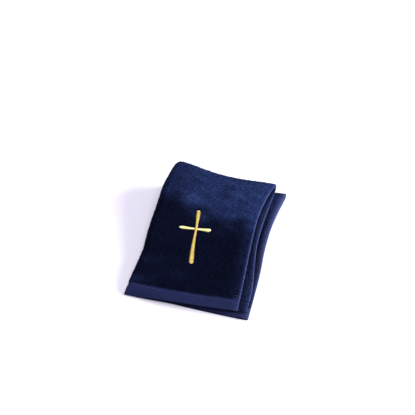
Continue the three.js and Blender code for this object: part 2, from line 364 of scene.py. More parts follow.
# painted shade: a dark strip on a layer, beside the open edge of the layer above
layerShade = {
    "upper": (14.0, 6.0),  # width on the second layer, at the hem and from half way up
    "upperRun": (0.25, 0.6),
    "lower": (1.2, 0.8),  # width on the third layer, as a share of its bare strip
    "lowerRun": (0.35, 0.6),
    "upperClear": (0.45, 0.45, 0.85),  # share that clears towards the top, from and to
    "lowerClear": (0.85, 0.5, 0.95),
    "lit": (0.15, 1.0),
    "depth": 0.95,
}


# 0 at the edge above, 1 where its strip ends
def beyondEdge(along, face, fromSide, fromHem, upperPair):
    edge = {name: curve(openEdges, name, along) for name in ("front", "second", "third")}
    bare = np.where(upperPair, edge["second"] - edge["front"], edge["third"] - edge["second"])
    upperWidth = mix(*layerShade["upper"], ramp(along, *layerShade["upperRun"]))
    lowerWidth = bare * mix(*layerShade["lower"], ramp(along, *layerShade["lowerRun"]))
    shelf = (face < innerFace) & (upperPair | (fromHem > towel["bandDepth"]))
    width = np.where(upperPair, upperWidth, lowerWidth)
    beyond = np.where(shelf, (bare - fromSide) / width, 1.0)
    clear = []
    for name in ("upperClear", "lowerClear"):
        share, start, end = layerShade[name]
        clear.append(share * ramp(along, start, end))
    return mix(beyond, 1.0, np.where(upperPair, *clear))


def buildSheet():
    across, turn, along, face, bulge = clothGrid()
    middle = clothPoint(across, turn, along, face, bulge)
    normal = gridNormals(middle)
    shape = middle.shape[:2]
    fromSide = np.broadcast_to((1 - across) * towel["panel"][0], shape)
    fromHem = np.broadcast_to(np.where(bulge > 0, farAway, along * towel["panel"][1]), shape)
    half = np.broadcast_to(clothThickness(across, along), shape) / 2
    s = np.broadcast_to(runLength(middle[len(along) // 3])[None, :], shape)
    l = np.broadcast_to(runLength(middle[:, -len(across[0]) // 4])[:, None], shape)
    upperPair = np.broadcast_to(turn > 0, shape)
    # seams draw the cloth in and pucker it, and the open edges are round
    seamLine = np.where(upperPair, towel["stitchLine"], towel["ribbedHem"])
    sideSeam = bell(fromSide - seamLine, towel["seamWidth"][0])
    endSeam = bell(fromHem - towel["bandSeam"], towel["seamWidth"][1])
    hiddenShare, endShare = towel["seamShare"]
    sideDip = np.where(upperPair & (fromHem > towel["cornerHeight"]), hiddenShare, 1.0) * sideSeam
    dip = towel["seamDip"] * np.maximum(sideDip, endShare * endSeam)
    edge = np.minimum(np.minimum(fromSide, fromHem) / towel["roundEdge"], 1)
    rounding = np.sqrt(np.maximum(1 - (1 - edge) ** 2, 0))
    stretch = towel["puckerStretch"]
    reach, *size = towel["hemPucker"]
    hemPucker = bell(fromSide, reach) * waves(l, s * stretch, *size)
    reach, *size = towel["bandPucker"]
    endPucker = bell(fromHem, reach) * waves(s, l * stretch, *size)
    pucker = towel["pucker"] * (hemPucker + towel["bandPuckerShare"] * endPucker)
    # the pile stops at the band and at the ribbed hem
    waver, *size = towel["bandWaver"]
    bandLine = fromHem + waver * waves(s, l, *size)
    overBand = pileRise(bandLine, "bandDepth")
    ribSpan = (towel["ribbedHem"] - towel["ribSoft"], towel["ribbedHem"] + towel["ribSoft"])
    ribbed = (1 - ramp(fromSide, *ribSpan)) * ~upperPair
    pile = overBand * (1 - ribbed)
    seen = (face > innerFace) | (fromSide < towel["seenReach"])
    rough = waveSum(s, l, towel["pileWaves"])
    uneven = towel["pileUneven"] * rough * pile * seen
    x = middle[..., 0] - towel["corner"][0]
    y = middle[..., 1] - towel["corner"][1]
    onFront = (turn > flatTurn) & (face > outerFace) & (bulge == 0)
    nearCross = np.where(onFront, crossDistance(x, y), farAway)
    sunk = cross["sink"] * bell(nearCross, cross["sinkReach"])
    onGround = np.broadcast_to((turn < -flatTurn) & (face > outerFace), shape)
    middle = middle + normal * np.where(onGround, 0, pucker)[..., None]
    outHalf = (half - dip + np.where(onGround, 0, uneven)) * rounding - sunk
    inHalf = (half - dip) * rounding
    outside = middle + normal * outHalf[..., None]
    inside = middle - normal * inHalf[..., None]
    flatGround = onGround & (rounding > towel["groundRim"])
    outside[..., 2] = np.where(flatGround, 0, np.maximum(outside[..., 2], 0))
    inside[..., 2] = np.maximum(inside[..., 2], 0)
    return {
        "outside": outside, "inside": inside, "normal": normal, "s": s, "l": l, "x": x, "y": y,
        "fromSide": fromSide, "fromHem": fromHem, "pile": pile, "overBand": overBand,
        "nearCross": nearCross, "beyond": beyondEdge(along, face, fromSide, fromHem, upperPair),
        "turn": np.broadcast_to(turn, shape), "face": np.broadcast_to(face, shape),
        "bulge": np.broadcast_to(bulge, shape),
    }


# tone of the front panel, partly brushed nap and partly painted sheen and shade: lighter above a
# slanting line
napAndPaintedLight = {
    "dark": 0.035,
    "light": 0.52,
    "least": 0.02,
    "lineY": (214.0, 186.0),  # height of the line at the left and from lineX on
    "lineX": (20.0, 95.0),
    "lineWaver": (5.0, 38.0, 20),  # height, size and seed of its waves
    "soft": 24.0,
    # painted sheen along the open side, weaker near the hem
    "edgeSheen": 0.3,
    "edgeReach": 15.0,
    "lowEdge": 0.5,  # share of the edge's light near the hem
    "lowY": (50.0, 150.0),
    # painted highlight on the rounded open edge
    "rimHighlight": 0.42,
    "rimReach": 2.4,
    "shelf": (0.1, 0.36),  # painted shade on the lower pair beside the open edges, low down and at the top
    "shelfY": (180.0, 300.0),
    "shelfSide": (60.0, 100.0),
    "mottle": ((0.13, 30, 21), (0.08, 11, 22)),  # share, size, seed
    "mottleStretch": 1.5,
    "crossShadeReach": 2.6,  # painted shade round the cross, where the stitches sink into the pile
}
# tone spots, partly brushed nap and partly painted sheen and shade: x, y, turn, reach, width, tone
napAndLightSpots = (
    (67, 217, -16, 13, 5.5, 0.34),
    (148, 243, 4, 13, 6, 0.16),
    (112, 246, 0, 16, 10, -0.10),
    (40, 232, 12, 28, 14, -0.2),
    (42, 266, 8, 36, 16, -0.13),
    (40, 246, 8, 30, 11, -0.1),
    (18, 256, 78, 34, 13, -0.09),
    (162, 262, 4, 34, 18, 0.17),
    (120, 158, -6, 32, 7, 0.07),
    (35, 101, 5, 30, 9, -0.06),
    (22, 72, 14, 24, 8, 0.07),
    (10, 30, 8, 24, 7, 0.2),
    (70, 52, -4, 30, 9, 0.05),
    (130, 62, 12, 26, 10, -0.03),
    (150, 130, 80, 34, 9, -0.03),
)


def napAndLightTone(sheet):
    x, y, fromSide = sheet["x"], sheet["y"], sheet["fromSide"]
    waver, *size = napAndPaintedLight["lineWaver"]
    line = mix(*napAndPaintedLight["lineY"], ramp(x, *napAndPaintedLight["lineX"])) + waver * waves(x, y, *size)
    # painted sheen and brushed nap: lighter above the slanting line
    tone = mix(napAndPaintedLight["dark"], napAndPaintedLight["light"], ramp(y, line - napAndPaintedLight["soft"], line + napAndPaintedLight["soft"]))
    # painted sheen along the open side
    edgeSheen = napAndPaintedLight["edgeSheen"] * mix(napAndPaintedLight["lowEdge"], 1, ramp(y, *napAndPaintedLight["lowY"]))
    tone = tone + edgeSheen * bell(fromSide, napAndPaintedLight["edgeReach"])
    # painted highlight on the rounded open edge
    tone = tone + napAndPaintedLight["rimHighlight"] * bell(fromSide, napAndPaintedLight["rimReach"])
    # painted shade on the lower pair beside the open edge above it
    shelfShade = mix(*napAndPaintedLight["shelf"], ramp(y, *napAndPaintedLight["shelfY"]))
    lowerTone = mix(shelfShade, tone, ramp(fromSide, *napAndPaintedLight["shelfSide"]))
    tone = np.where(sheet["turn"] > 0, tone, lowerTone)
    for *oval, amount in napAndLightSpots:
        tone = tone + amount * spot(x, y, *oval)
    mottle = waveSum(x, y * napAndPaintedLight["mottleStretch"], napAndPaintedLight["mottle"], 1)
    tone = np.maximum(tone, napAndPaintedLight["least"]) * mottle
    # painted shade round the cross
    return np.clip(tone * (1 - bell(sheet["nearCross"], napAndPaintedLight["crossShadeReach"])), 0, 1)


# mesh helpers
def addObject(name, data):
    made = bpy.data.objects.new(name, data)
    bpy.context.scene.collection.objects.link(made)
    return made


def newMesh(name, points, faceSets):
    mesh = bpy.data.meshes.new(name)
    corners = np.concatenate([np.ravel(faces) for faces in faceSets]).astype(np.int32)
    sizes = np.concatenate([np.full(len(faces), faces.shape[1]) for faces in faceSets])
    starts = (np.cumsum(sizes) - sizes).astype(np.int32)
    mesh.vertices.add(len(points))
    mesh.vertices.foreach_set("co", np.asarray(points, np.float32).ravel() * mm)
    mesh.loops.add(len(corners))
    mesh.loops.foreach_set("vertex_index", corners)
    mesh.polygons.add(len(sizes))
    mesh.polygons.foreach_set("loop_start", starts)
    mesh.polygons.foreach_set("use_smooth", np.full(len(sizes), True))
    mesh.update(calc_edges=True)
    return addObject(name, mesh)


def pointValues(piece, name, values, kind="FLOAT", field="value"):
    layer = piece.data.attributes.new(name, kind, "POINT")
    layer.data.foreach_set(field, np.asarray(values, np.float32).ravel())


def pointVectors(piece, name, values):
    pointValues(piece, name, values, "FLOAT_VECTOR", "vector")


def bakeMap(piece, cornerPlaces):
    layer = piece.data.uv_layers.new(name="OFBake")
    layer.data.foreach_set("uv", np.asarray(cornerPlaces, np.float32).ravel())


sheet = buildSheet()
sheet["tone"] = napAndLightTone(sheet)
gridRows, gridColumns = sheet["s"].shape
foldAt = float(np.interp(0, sheet["turn"][0], sheet["s"][0]))
print("cloth grid", gridRows, "by", gridColumns)


# a field of the sheet at places between the mesh lines
def sample(name, rowAt, columnAt):
    field = sheet[name]
    row = np.clip(np.floor(rowAt).astype(int), 0, gridRows - 2)
    column = np.clip(np.floor(columnAt).astype(int), 0, gridColumns - 2)
    u, v = columnAt - column, rowAt - row
    if field.ndim == 3:
        u, v = u[..., None], v[..., None]
    near = mix(field[row, column], field[row, column + 1], u)
    return mix(near, mix(field[row + 1, column], field[row + 1, column + 1], u), v)


# mesh lines of one layer: pair is 1 for the upper pair, face is 1 for the outer layers
def rowsFrom(face, fromHem):
    rows = np.flatnonzero((sheet["bulge"][:, 0] == 0) & (sheet["face"][:, 0] * face > 0))
    rows = rows[np.argsort(sheet["fromHem"][rows, 0])]
    return np.interp(fromHem, sheet["fromHem"][rows, 0], rows)


def columnsFrom(pair, fromSide):
    columns = np.flatnonzero(sheet["turn"][0] * pair > flatTurn)
    columns = columns[np.argsort(sheet["fromSide"][0, columns])]
    return np.interp(fromSide, sheet["fromSide"][0, columns], columns)


# both faces lie side by side on the bake map, and far apart in the noise
clothMap = {"size": 0.48, "margin": 0.01, "second": 0.5, "noiseShift": 40}


def makeCloth():
    total = gridRows * gridColumns
    number = np.arange(total).reshape(gridRows, gridColumns)
    rim = np.zeros((gridRows, gridColumns), bool)
    rim[0], rim[-1], rim[:, 0], rim[:, -1] = True, True, True, True
    back = np.where(rim, number, number + total)  # both faces share the rim

    def cells(grid, order):
        spots = (grid[:-1, :-1], grid[:-1, 1:], grid[1:, 1:], grid[1:, :-1])
        return np.stack([spots[k] for k in order], -1).reshape(-1, 4)

    flatCells = np.concatenate([cells(number, (0, 1, 2, 3)), cells(number, (0, 3, 2, 1))])
    quads = np.concatenate([cells(number, (0, 1, 2, 3)), cells(back, (0, 3, 2, 1))])
    scale = clothMap["size"] / sheet["s"].max()
    places = np.stack([sheet["s"].ravel(), sheet["l"].ravel()], -1) * scale + clothMap["margin"]
    places = places[flatCells]
    places[len(places) // 2:, :, 0] += clothMap["second"]
    # the corner cells are split from the corner inwards, so that the two faces stay apart there
    corners = np.isin(flatCells, number[[0, 0, -1, -1], [0, -1, 0, -1]])
    split = corners.any(1)
    order = (corners[split].argmax(1)[:, None] + np.array([0, 1, 2, 0, 2, 3])) % 4
    halves = np.take_along_axis(quads[split], order, 1).reshape(-1, 3)
    halfPlaces = np.take_along_axis(places[split], order[..., None], 1)
    quads, places = quads[~split], places[~split]
    points = np.concatenate([sheet["outside"].reshape(-1, 3), sheet["inside"].reshape(-1, 3)])
    used = np.zeros(len(points), bool)
    used[quads.ravel()] = True
    used[halves.ravel()] = True
    renumber = np.cumsum(used) - 1
    cloth = newMesh("towel_cloth", points[used], [renumber[quads], renumber[halves]])

    def both(front, behind):
        return np.concatenate([sheet[front].ravel(), sheet[behind].ravel()])[used]

    for name in ("tone", "fromSide", "fromHem", "beyond"):
        pointValues(cloth, name, both(name, name))
    pointValues(cloth, "pile", both("pile", "overBand"))
    loops = np.repeat([0.0, 1.0], total)[used]
    pointValues(cloth, "loops", loops)
    lower = (sheet["turn"].ravel() < 0).astype(float)
    pointValues(cloth, "ribs", np.concatenate([lower, lower * 0])[used])
    flatPlace = np.stack([both("s", "s"), both("l", "l"), loops * clothMap["noiseShift"]], -1)
    pointVectors(cloth, "flatPlace", flatPlace)
    bakeMap(cloth, np.concatenate([places.reshape(-1, 2), halfPlaces.reshape(-1, 2)]))
    return cloth


cloth = makeCloth()
print("cloth", len(cloth.data.polygons), "faces")


# cut pile on the faces that show: short leaning tufts, each a closed three-sided point
pileTufts = {
    "front": 49000,
    "folds": 26000,
    "length": 1.15,
    "lengthSpread": (0.7, 1.2),
    "shorter": (-0.2, 0.9),  # tufts shorten where the pile stops
    "width": 0.62,
    "root": 0.45,
    "lean": 0.7,
    "spread": 0.4,
    "edgeReach": 1.4,
    "edgeLean": 0.3,
    "comb": ((0.6, 45, 31), (0.3, 16, 32)),  # swing, size, seed
    "combSpread": 0.5,
    "clear": 0.5,  # bare rim round the cross
    "lowest": 0.02,
    "shelfReach": 45.0,
    "foldTurn": -1.2,
    "foldFace": -0.7,
}
# bake map of the tufts: the three feet of each and its tip lie round its own place
tuftMap = {
    "margin": 0.02,
    "size": 0.96,
    "feet": ([-0.4, -0.3], [0.4, -0.3], [0.0, 0.4], [0.0, 0.0]),
}


def makePile(name, count, shown):
    acrossStep = np.diff(sheet["outside"], axis=1)[:-1]
    alongStep = np.diff(sheet["outside"], axis=0)[:, :-1]
    weight = np.linalg.norm(np.cross(acrossStep, alongStep), axis=2)
    shown = shown * sheet["pile"] * (sheet["nearCross"] > pileTufts["clear"])
    total = np.cumsum((weight * shown[:-1, :-1]).ravel())
    pick = np.searchsorted(total, dice.uniform(0, total[-1], count))
    row, column = np.divmod(pick, gridColumns - 1)
    rowAt, columnAt = row + dice.uniform(0, 1, count), column + dice.uniform(0, 1, count)
    place, up = sample("outside", rowAt, columnAt), sample("normal", rowAt, columnAt)
    s, l = sample("s", rowAt, columnAt), sample("l", rowAt, columnAt)
    combed = waveSum(s, l, pileTufts["comb"], -math.pi / 2)
    combed = (combed + dice.normal(0, pileTufts["combSpread"], count))[:, None]
    rowWay = unit(sheet["outside"][row + 1, column] - sheet["outside"][row, column])
    sideWay = np.cross(rowWay, up)
    outWay = sideWay * np.sign(sheet["turn"][row, column])[:, None]
    atEdge = 1 - ramp(sample("fromSide", rowAt, columnAt), 0, pileTufts["edgeReach"])[:, None]
    combWay = mix(sideWay * np.cos(combed) + rowWay * np.sin(combed), outWay, atEdge)
    lean = (pileTufts["lean"] + pileTufts["spread"] * dice.normal(0, 1, count))[:, None]
    lean = lean + pileTufts["edgeLean"] * atEdge
    way = up * np.cos(lean) + combWay * np.sin(lean)
    length = pileTufts["length"] * dice.uniform(*pileTufts["lengthSpread"], count)
    length = length * ramp(sample("pile", rowAt, columnAt), *pileTufts["shorter"])
    spin = dice.uniform(0, 2 * math.pi, count)[:, None] + np.arange(3) * 2 * math.pi / 3
    foot = sideWay[:, None] * np.cos(spin)[..., None] + rowWay[:, None] * np.sin(spin)[..., None]
    root = (place - up * pileTufts["root"])[:, None]
    tip = place[:, None] + way[:, None] * length[:, None, None]
    points = np.concatenate([root + foot * pileTufts["width"] / 2, tip], 1).reshape(-1, 3)
    points[:, 2] = np.maximum(points[:, 2], pileTufts["lowest"])
    sides = np.array([[0, 1, 3], [1, 2, 3], [2, 0, 3], [0, 2, 1]])
    faces = (np.arange(count)[:, None, None] * 4 + sides).reshape(-1, 3)
    pile = newMesh(name, points, [faces])
    flat = np.stack([np.repeat(s, 4), np.repeat(l, 4)], -1)
    pointValues(pile, "tone", np.repeat(sample("tone", rowAt, columnAt), 4))
    pointValues(pile, "tip", np.tile([0.0, 0.0, 0.0, 1.0], count))
    pointValues(pile, "shade", np.repeat(dice.uniform(0, 1, count), 4))
    pointVectors(pile, "flatPlace", np.concatenate([flat, flat[:, :1] * 0], 1))
    spread = flat + np.tile(tuftMap["feet"], (count, 1))
    bakeMap(pile, (tuftMap["margin"] + spread * tuftMap["size"] / sheet["l"].max())[faces.ravel()])
    return pile


turn, face = sheet["turn"], sheet["face"]
frontPanel = (turn > flatTurn) & (face > outerFace) & (sheet["bulge"] == 0)
roundFolds = (turn > pileTufts["foldTurn"]) & (face > pileTufts["foldFace"]) & ~frontPanel
shelf = (turn < -flatTurn) & (face < innerFace) & (sheet["fromSide"] < pileTufts["shelfReach"])
frontPile = makePile("towel_pile_front", pileTufts["front"], frontPanel)
foldPile = makePile("towel_pile_folds", pileTufts["folds"], roundFolds | shelf)
print("pile", pileTufts["front"] + pileTufts["folds"], "tufts")

# bake map of the threads: one lane each, with the caps beyond its ends
threadMap = {
    "margin": 0.01,
    "size": 0.98,
    "lane": (0.1, 0.8),  # start and width, as shares of the lane
    "caps": (0.004, 0.996),
    "capFan": (0.1, -0.1, 0.0),
}
threadEnd = {"size": 0.6, "reach": 0.5}  # as shares of the thread's radius


# values along each thread, for every point of its tube and its two tips
def tubeValues(values, sides):
    return np.concatenate([np.repeat(values, sides, 1), values[:, [0, -1]]], 1).ravel()


# round threads, closed at both ends and joined in one mesh: lines and ups are (threads, points, 3)
def threadPiece(name, bundles, sides, shades=None):
    points, quads, caps, quadPlaces, capPlaces, along, shade = [], [], [], [], [], [], []
    first, stack = 0, 0
    margin, room = threadMap["margin"], threadMap["size"]
    laneStart, laneWidth = threadMap["lane"]
    ring = np.arange(sides) * 2 * math.pi / sides
    allThreads = sum(len(lines) for lines, ups, radius in bundles)
    for lines, ups, radius in bundles:
        count, steps = lines.shape[:2]
        way = unit(np.gradient(lines, axis=1))
        side = unit(np.cross(way, ups))
        top = np.cross(side, way)
        taper = np.concatenate([[threadEnd["size"]], np.ones(steps - 2), [threadEnd["size"]]])
        size = radius * taper[None, :, None, None]
        circle = side[:, :, None] * np.cos(ring)[:, None] + top[:, :, None] * np.sin(ring)[:, None]
        tube = lines[:, :, None] + size * circle
        startTip = lines[:, 0] - way[:, 0] * radius * threadEnd["reach"]
        endTip = lines[:, -1] + way[:, -1] * radius * threadEnd["reach"]
        tips = np.stack([startTip, endTip], 1)
        each = steps * sides + 2
        points.append(np.concatenate([tube.reshape(count, -1, 3), tips], 1).reshape(-1, 3))
        run = np.cumsum(np.linalg.norm(np.diff(lines, axis=1), axis=2), axis=1)
        along.append(tubeValues(np.concatenate([np.zeros((count, 1)), run], 1), sides))
        shade.append(np.repeat(dice.uniform(0, 1, count) if shades is None else shades, each))
        base = (first + np.arange(count) * each)[:, None, None, None]
        i, j = np.arange(steps - 1)[:, None, None], np.arange(sides)[None, :, None]
        di, dj = np.array([0, 1, 1, 0]), np.array([0, 0, 1, 1])
        quads.append((base + (i + di) * sides + (j + dj) % sides).reshape(-1, 4))
        lane = (stack + np.arange(count))[:, None, None, None]
        u = margin + room * (i + di + j * 0) / (steps - 1) + lane * 0
        v = margin + room * (lane + laneStart + laneWidth * (j + dj + i * 0) / sides) / allThreads
        quadPlaces.append(np.stack([u, v], -1).reshape(-1, 2))
        near, far = np.arange(sides), (np.arange(sides) + 1) % sides
        startCap = np.stack([near, far, np.full(sides, steps * sides)], -1)
        lastRing = (steps - 1) * sides
        endCap = np.stack([far + lastRing, near + lastRing, np.full(sides, steps * sides + 1)], -1)
        caps.append((base[:, 0] + np.concatenate([startCap, endCap])).reshape(-1, 3))
        capU = np.repeat(threadMap["caps"], sides)[None, :, None] + np.zeros((count, 1, 3))
        capV = margin + room * (lane[:, 0] + 0.5 + np.array(threadMap["capFan"])) / allThreads
        capPlaces.append(np.stack(np.broadcast_arrays(capU, capV), -1).reshape(-1, 2))
        first += count * each
        stack += count
    piece = newMesh(name, np.concatenate(points), [np.concatenate(quads), np.concatenate(caps)])
    pointValues(piece, "along", np.concatenate(along))
    pointValues(piece, "shade", np.concatenate(shade))
    bakeMap(piece, np.concatenate(quadPlaces + capPlaces))
    return piece


# place on the front panel, as shares of its own width and length
def frontAt(x, y, rounds=8):
    across, along = x / towel["panel"][0], y / towel["panel"][1]
    for _ in range(rounds):
        foldX = curve(leftFold, "outline", along) + curve(leftFold, "outer", along)
        across = (x - foldX) / (curve(openEdges, "front", along) - foldX)
        hem = hemLine("front", across)
        along = (y - hem) / (curve(topFold, "upperStart", across) - hem)
    return across, along


# points above the sunk cloth of the front panel
def frontSurface(x, y, lift):
    across, along = frontAt(x, y)
    step = 0.004
    here = clothPoint(across, math.pi / 2, along, 1.0, 0.0)
    dx = clothPoint(across + step, math.pi / 2, along, 1.0, 0.0) - here
    dy = clothPoint(across, math.pi / 2, along + step, 1.0, 0.0) - here
    up = unit(np.cross(dx, dy))
    return here + up * (towel["bodyThick"] / 2 - cross["sink"] + lift)[..., None], up


# satin stitches lie side by side across the bar
def satinBar(name, start, end, bridging):
    a, b = np.array(cross[start]["place"]), np.array(cross[end]["place"])
    run = b - a
    length = np.hypot(*run)
    run = run / length
    side = np.array([-run[1], run[0]])
    crossAt = (np.array(cross["crossing"]) - a) @ run
    count = int(length / cross["threadPitch"])
    s = ((np.arange(count) + 0.5) * length / count)[:, None]
    first = s < crossAt
    arm = np.where(first, crossAt, length - crossAt)
    wide = np.where(first, cross[start]["width"], cross[end]["width"])
    capLength = np.where(first, cross[start]["cap"], cross[end]["cap"])
    toEnd = np.minimum(s, length - s)
    flare = ramp(np.abs(s - crossAt), 0, arm - capLength * cross["flareEnd"])
    short = np.maximum(capLength - toEnd, 0) / capLength
    capShare = np.sqrt(np.maximum(1 - short * short, cross["blunt"]))
    width = mix(cross["narrow"], wide, flare) / 2 * capShare
    c = np.linspace(-1, 1, cross["points"])[None, :]
    ragged = 1 + dice.normal(0, cross["ragged"], (count, 2))
    across = c * width * np.where(c < 0, ragged[:, :1], ragged[:, 1:])
    alongStray, upStray = cross["stray"]
    way = s + cross["slant"] * width * c + dice.normal(0, alongStray, (count, 1))
    if bridging:
        across = across + bow(cross["bow"], np.clip(s / crossAt, 0, 1))
    dome = np.maximum(1 - c * c, 0) ** cross["dome"]
    full = mix(cross["padShare"], 1, np.minimum(width / cross["padWidth"], 1))
    lift = cross["padHeight"] * full * dome - cross["tuck"]
    lift = lift + dice.normal(0, upStray, (count, 1))
    if bridging:
        overBar = 1 - ramp(np.abs(s - crossAt), cross["narrow"] / 2, cross["bridgeReach"])
        lift = lift + cross["bridge"] * overBar
    x, y = (a[k] + run[k] * way + side[k] * across for k in (0, 1))
    lines, ups = frontSurface(x, y, lift)
    glint = waveSum(s.ravel(), 0, cross["glintWaves"], cross["glint"])
    shades = np.clip(glint + dice.normal(0, cross["glintStray"], count), 0, 1)
    sides = cross["sides"]
    piece = threadPiece(name, [(lines, ups, cross["threadRadius"])], sides, shades)
    fromCrossing = np.where(first, crossAt - s, cross["farFade"] * (s - crossAt))
    for field, values in (("toCrossing", fromCrossing), ("toEnd", toEnd), ("toRim", np.abs(c))):
        pointValues(piece, field, tubeValues(np.broadcast_to(values, lines.shape[:2]), sides))
    return piece


crossBar = satinBar("cross_bar_stitches", "barStart", "barEnd", False)
crossUpright = satinBar("cross_upright_stitches", "uprightStart", "uprightEnd", True)
print("cross", len(crossBar.data.polygons) + len(crossUpright.data.polygons), "faces")


# lockstitch rows along the hems, and whip stitches over the ribbed hem
hemStitches = {
    "length": 2.5,
    "gap": 0.7,
    "radius": 0.2,
    "arch": (-0.25, 0.06, 0.12, 0.06, -0.25),  # height along a stitch
    "whipStart": 1.2,
    "whipEnd": 1.0,
    "whipInset": 0.5,
    "whipPitch": 4.7,
    "whipRadius": 0.44,
    "whipSlant": 1.4,
    "whipStray": 0.12,
    "whipArch": (-0.3, 0.12, 0.16, 0.16, 0.16, 0.12, -0.3),
    "sides": 5,
}


def seamRow(distance):
    length, gap = hemStitches["length"], hemStitches["gap"]
    starts = np.arange(gap, distance - length, length + gap)
    return starts[:, None] + np.linspace(0, length, len(hemStitches["arch"]))[None, :]


def makeStitches():
    lines, ups, lit = [], [], []
    arch, whipArch = (np.array(hemStitches[name])[None, :, None] for name in ("arch", "whipArch"))

    def sew(rowAt, columnAt, height, inside):
        rowAt, columnAt = np.broadcast_arrays(rowAt, columnAt)
        up = sample("normal", rowAt, columnAt) * (-1 if inside else 1)
        lines.append(sample("inside" if inside else "outside", rowAt, columnAt) + up * height)
        ups.append(up)
        clear = ramp(sample("beyond", rowAt, columnAt), *layerShade["lit"])
        lit.append(tubeValues(clear, hemStitches["sides"]))

    width, length = towel["panel"]
    onSide, onBand, shortSide = (seamRow(run) for run in (length, width, towel["cornerHeight"]))
    for pair, seamLine in ((1, towel["stitchLine"]), (-1, towel["ribbedHem"])):
        for face in (1, -1):
            for inside in (False, True):
                side = shortSide if pair > 0 and not inside else onSide
                sew(rowsFrom(face, side), columnsFrom(pair, seamLine), arch, inside)
                sew(rowsFrom(face, towel["bandSeam"]), columnsFrom(pair, onBand), arch, inside)
    seams = (np.concatenate(lines), np.concatenate(ups), hemStitches["radius"])
    lines, ups = [], []
    lay = np.linspace(0, 1, len(hemStitches["whipArch"]))[None, :]
    inset = hemStitches["whipInset"]
    for pair, face, end, seamLine in ((-1, -1, length, towel["ribbedHem"]),
                                      (1, 1, towel["cornerHeight"], towel["stitchLine"])):
        end = end - hemStitches["whipEnd"]
        at = np.arange(hemStitches["whipStart"], end, hemStitches["whipPitch"])[:, None]
        at = at + dice.normal(0, hemStitches["whipStray"], at.shape)
        at = at + hemStitches["whipSlant"] * lay
        fromSide = inset + (seamLine - inset - inset) * lay
        sew(rowsFrom(face, at), columnsFrom(pair, fromSide), whipArch, False)
    whips = (np.concatenate(lines), np.concatenate(ups), hemStitches["whipRadius"])
    for bundle in (seams, whips):
        bundle[0][..., 2] = np.maximum(bundle[0][..., 2], hemStitches["whipRadius"])
    piece = threadPiece("hem_stitches", [seams, whips], hemStitches["sides"])
    pointValues(piece, "lit", np.concatenate(lit))
    return piece


hemThread = makeStitches()
print("hem stitches", len(hemThread.data.polygons), "faces")


# uncut loops of the back, where the open edges show them
backLoops = {
    "count": 6000,
    "width": 1.3,
    "height": 1.1,
    "sizeSpread": (0.8, 1.15),
    "lean": 0.35,
    "radius": 0.27,
    "root": 0.25,
    "points": 5,
    "sides": 3,
    "reach": (1.0, 27.0),  # from the open edge
    "bandGap": 0.5,
    "shades": (0.1, 1.0),
    "unlit": 0.1,
}


def makeLoops():
    count = backLoops["count"]
    fromSide = dice.uniform(*backLoops["reach"], count)
    fromHem = dice.uniform(towel["bandDepth"] + backLoops["bandGap"], towel["panel"][1], count)
    face = np.where(np.arange(count) % 2 == 0, 1, -1)
    rowAt = np.where(face > 0, rowsFrom(1, fromHem), rowsFrom(-1, fromHem))
    columnAt = columnsFrom(1, fromSide)
    place, up = sample("inside", rowAt, columnAt), -sample("normal", rowAt, columnAt)
    turn = dice.uniform(0, 2 * math.pi, count)
    flatWay = np.stack([np.cos(turn), np.sin(turn), turn * 0], -1)
    arc = np.linspace(0, math.pi, backLoops["points"])
    size = dice.uniform(*backLoops["sizeSpread"], count)[:, None, None]
    sideWay = flatWay[:, [1, 0, 2]] * np.array([-1, 1, 0])
    lean = sideWay * dice.normal(0, backLoops["lean"], (count, 1))
    rise = (up + lean)[:, None] * (np.sin(arc) * backLoops["height"])[None, :, None]
    swing = flatWay[:, None] * (-np.cos(arc) * backLoops["width"] / 2)[None, :, None]
    lines = place[:, None] - up[:, None] * backLoops["root"] + (rise + swing) * size
    ups = np.repeat(np.cross(flatWay, up)[:, None], backLoops["points"], 1)
    lit = ramp(sample("beyond", rowAt, columnAt), *layerShade["lit"])
    shades = dice.uniform(*backLoops["shades"], count) * mix(backLoops["unlit"], 1, lit)
    bundle = (lines, ups, backLoops["radius"])
    return threadPiece("back_loops", [bundle], backLoops["sides"], shades)


loopPiece = makeLoops()
print("loops", len(loopPiece.data.polygons), "faces")


# shader helpers
def plug(tree, socket, value):
    if isinstance(value, bpy.types.NodeSocket):
        tree.links.new(value, socket)
    else:
        socket.default_value = value


def addNode(tree, kind, links=None, **settings):
    node = tree.nodes.new(kind)
    for name, value in settings.items():
        setattr(node, name, value)
    for socket, value in (links or {}).items():
        plug(tree, node.inputs[socket], value)
    return node


def calc(tree, operation, *values, clamp=False):
    links = dict(enumerate(values))
    return addNode(tree, "ShaderNodeMath", links, operation=operation, use_clamp=clamp).outputs[0]


def times(tree, a, b):
    return calc(tree, "MULTIPLY", a, b)


def scaled(tree, value, gain, offset, clamp=False):
    return calc(tree, "MULTIPLY_ADD", value, gain, offset, clamp=clamp)


def blendColor(tree, share, a, b, mode="MIX"):
    node = addNode(tree, "ShaderNodeMix", data_type="RGBA", blend_type=mode)
    for socket, value in zip((0, 6, 7), (share, a, b)):  # the colour sockets
        plug(tree, node.inputs[socket], value)
    return node.outputs[2]


def fade(tree, value, start, end, top=1.0):
    links = {0: value, 1: start, 2: end, 3: 0.0, 4: top}
    return addNode(tree, "ShaderNodeMapRange", links).outputs[0]


def attribute(tree, name, output="Fac"):
    return addNode(tree, "ShaderNodeAttribute", attribute_name=name).outputs[output]


def noise(tree, place, scale, detail, roughness=0.5):
    links = {"Vector": place, "Scale": scale, "Detail": detail, "Roughness": roughness}
    return addNode(tree, "ShaderNodeTexNoise", links).outputs["Fac"]


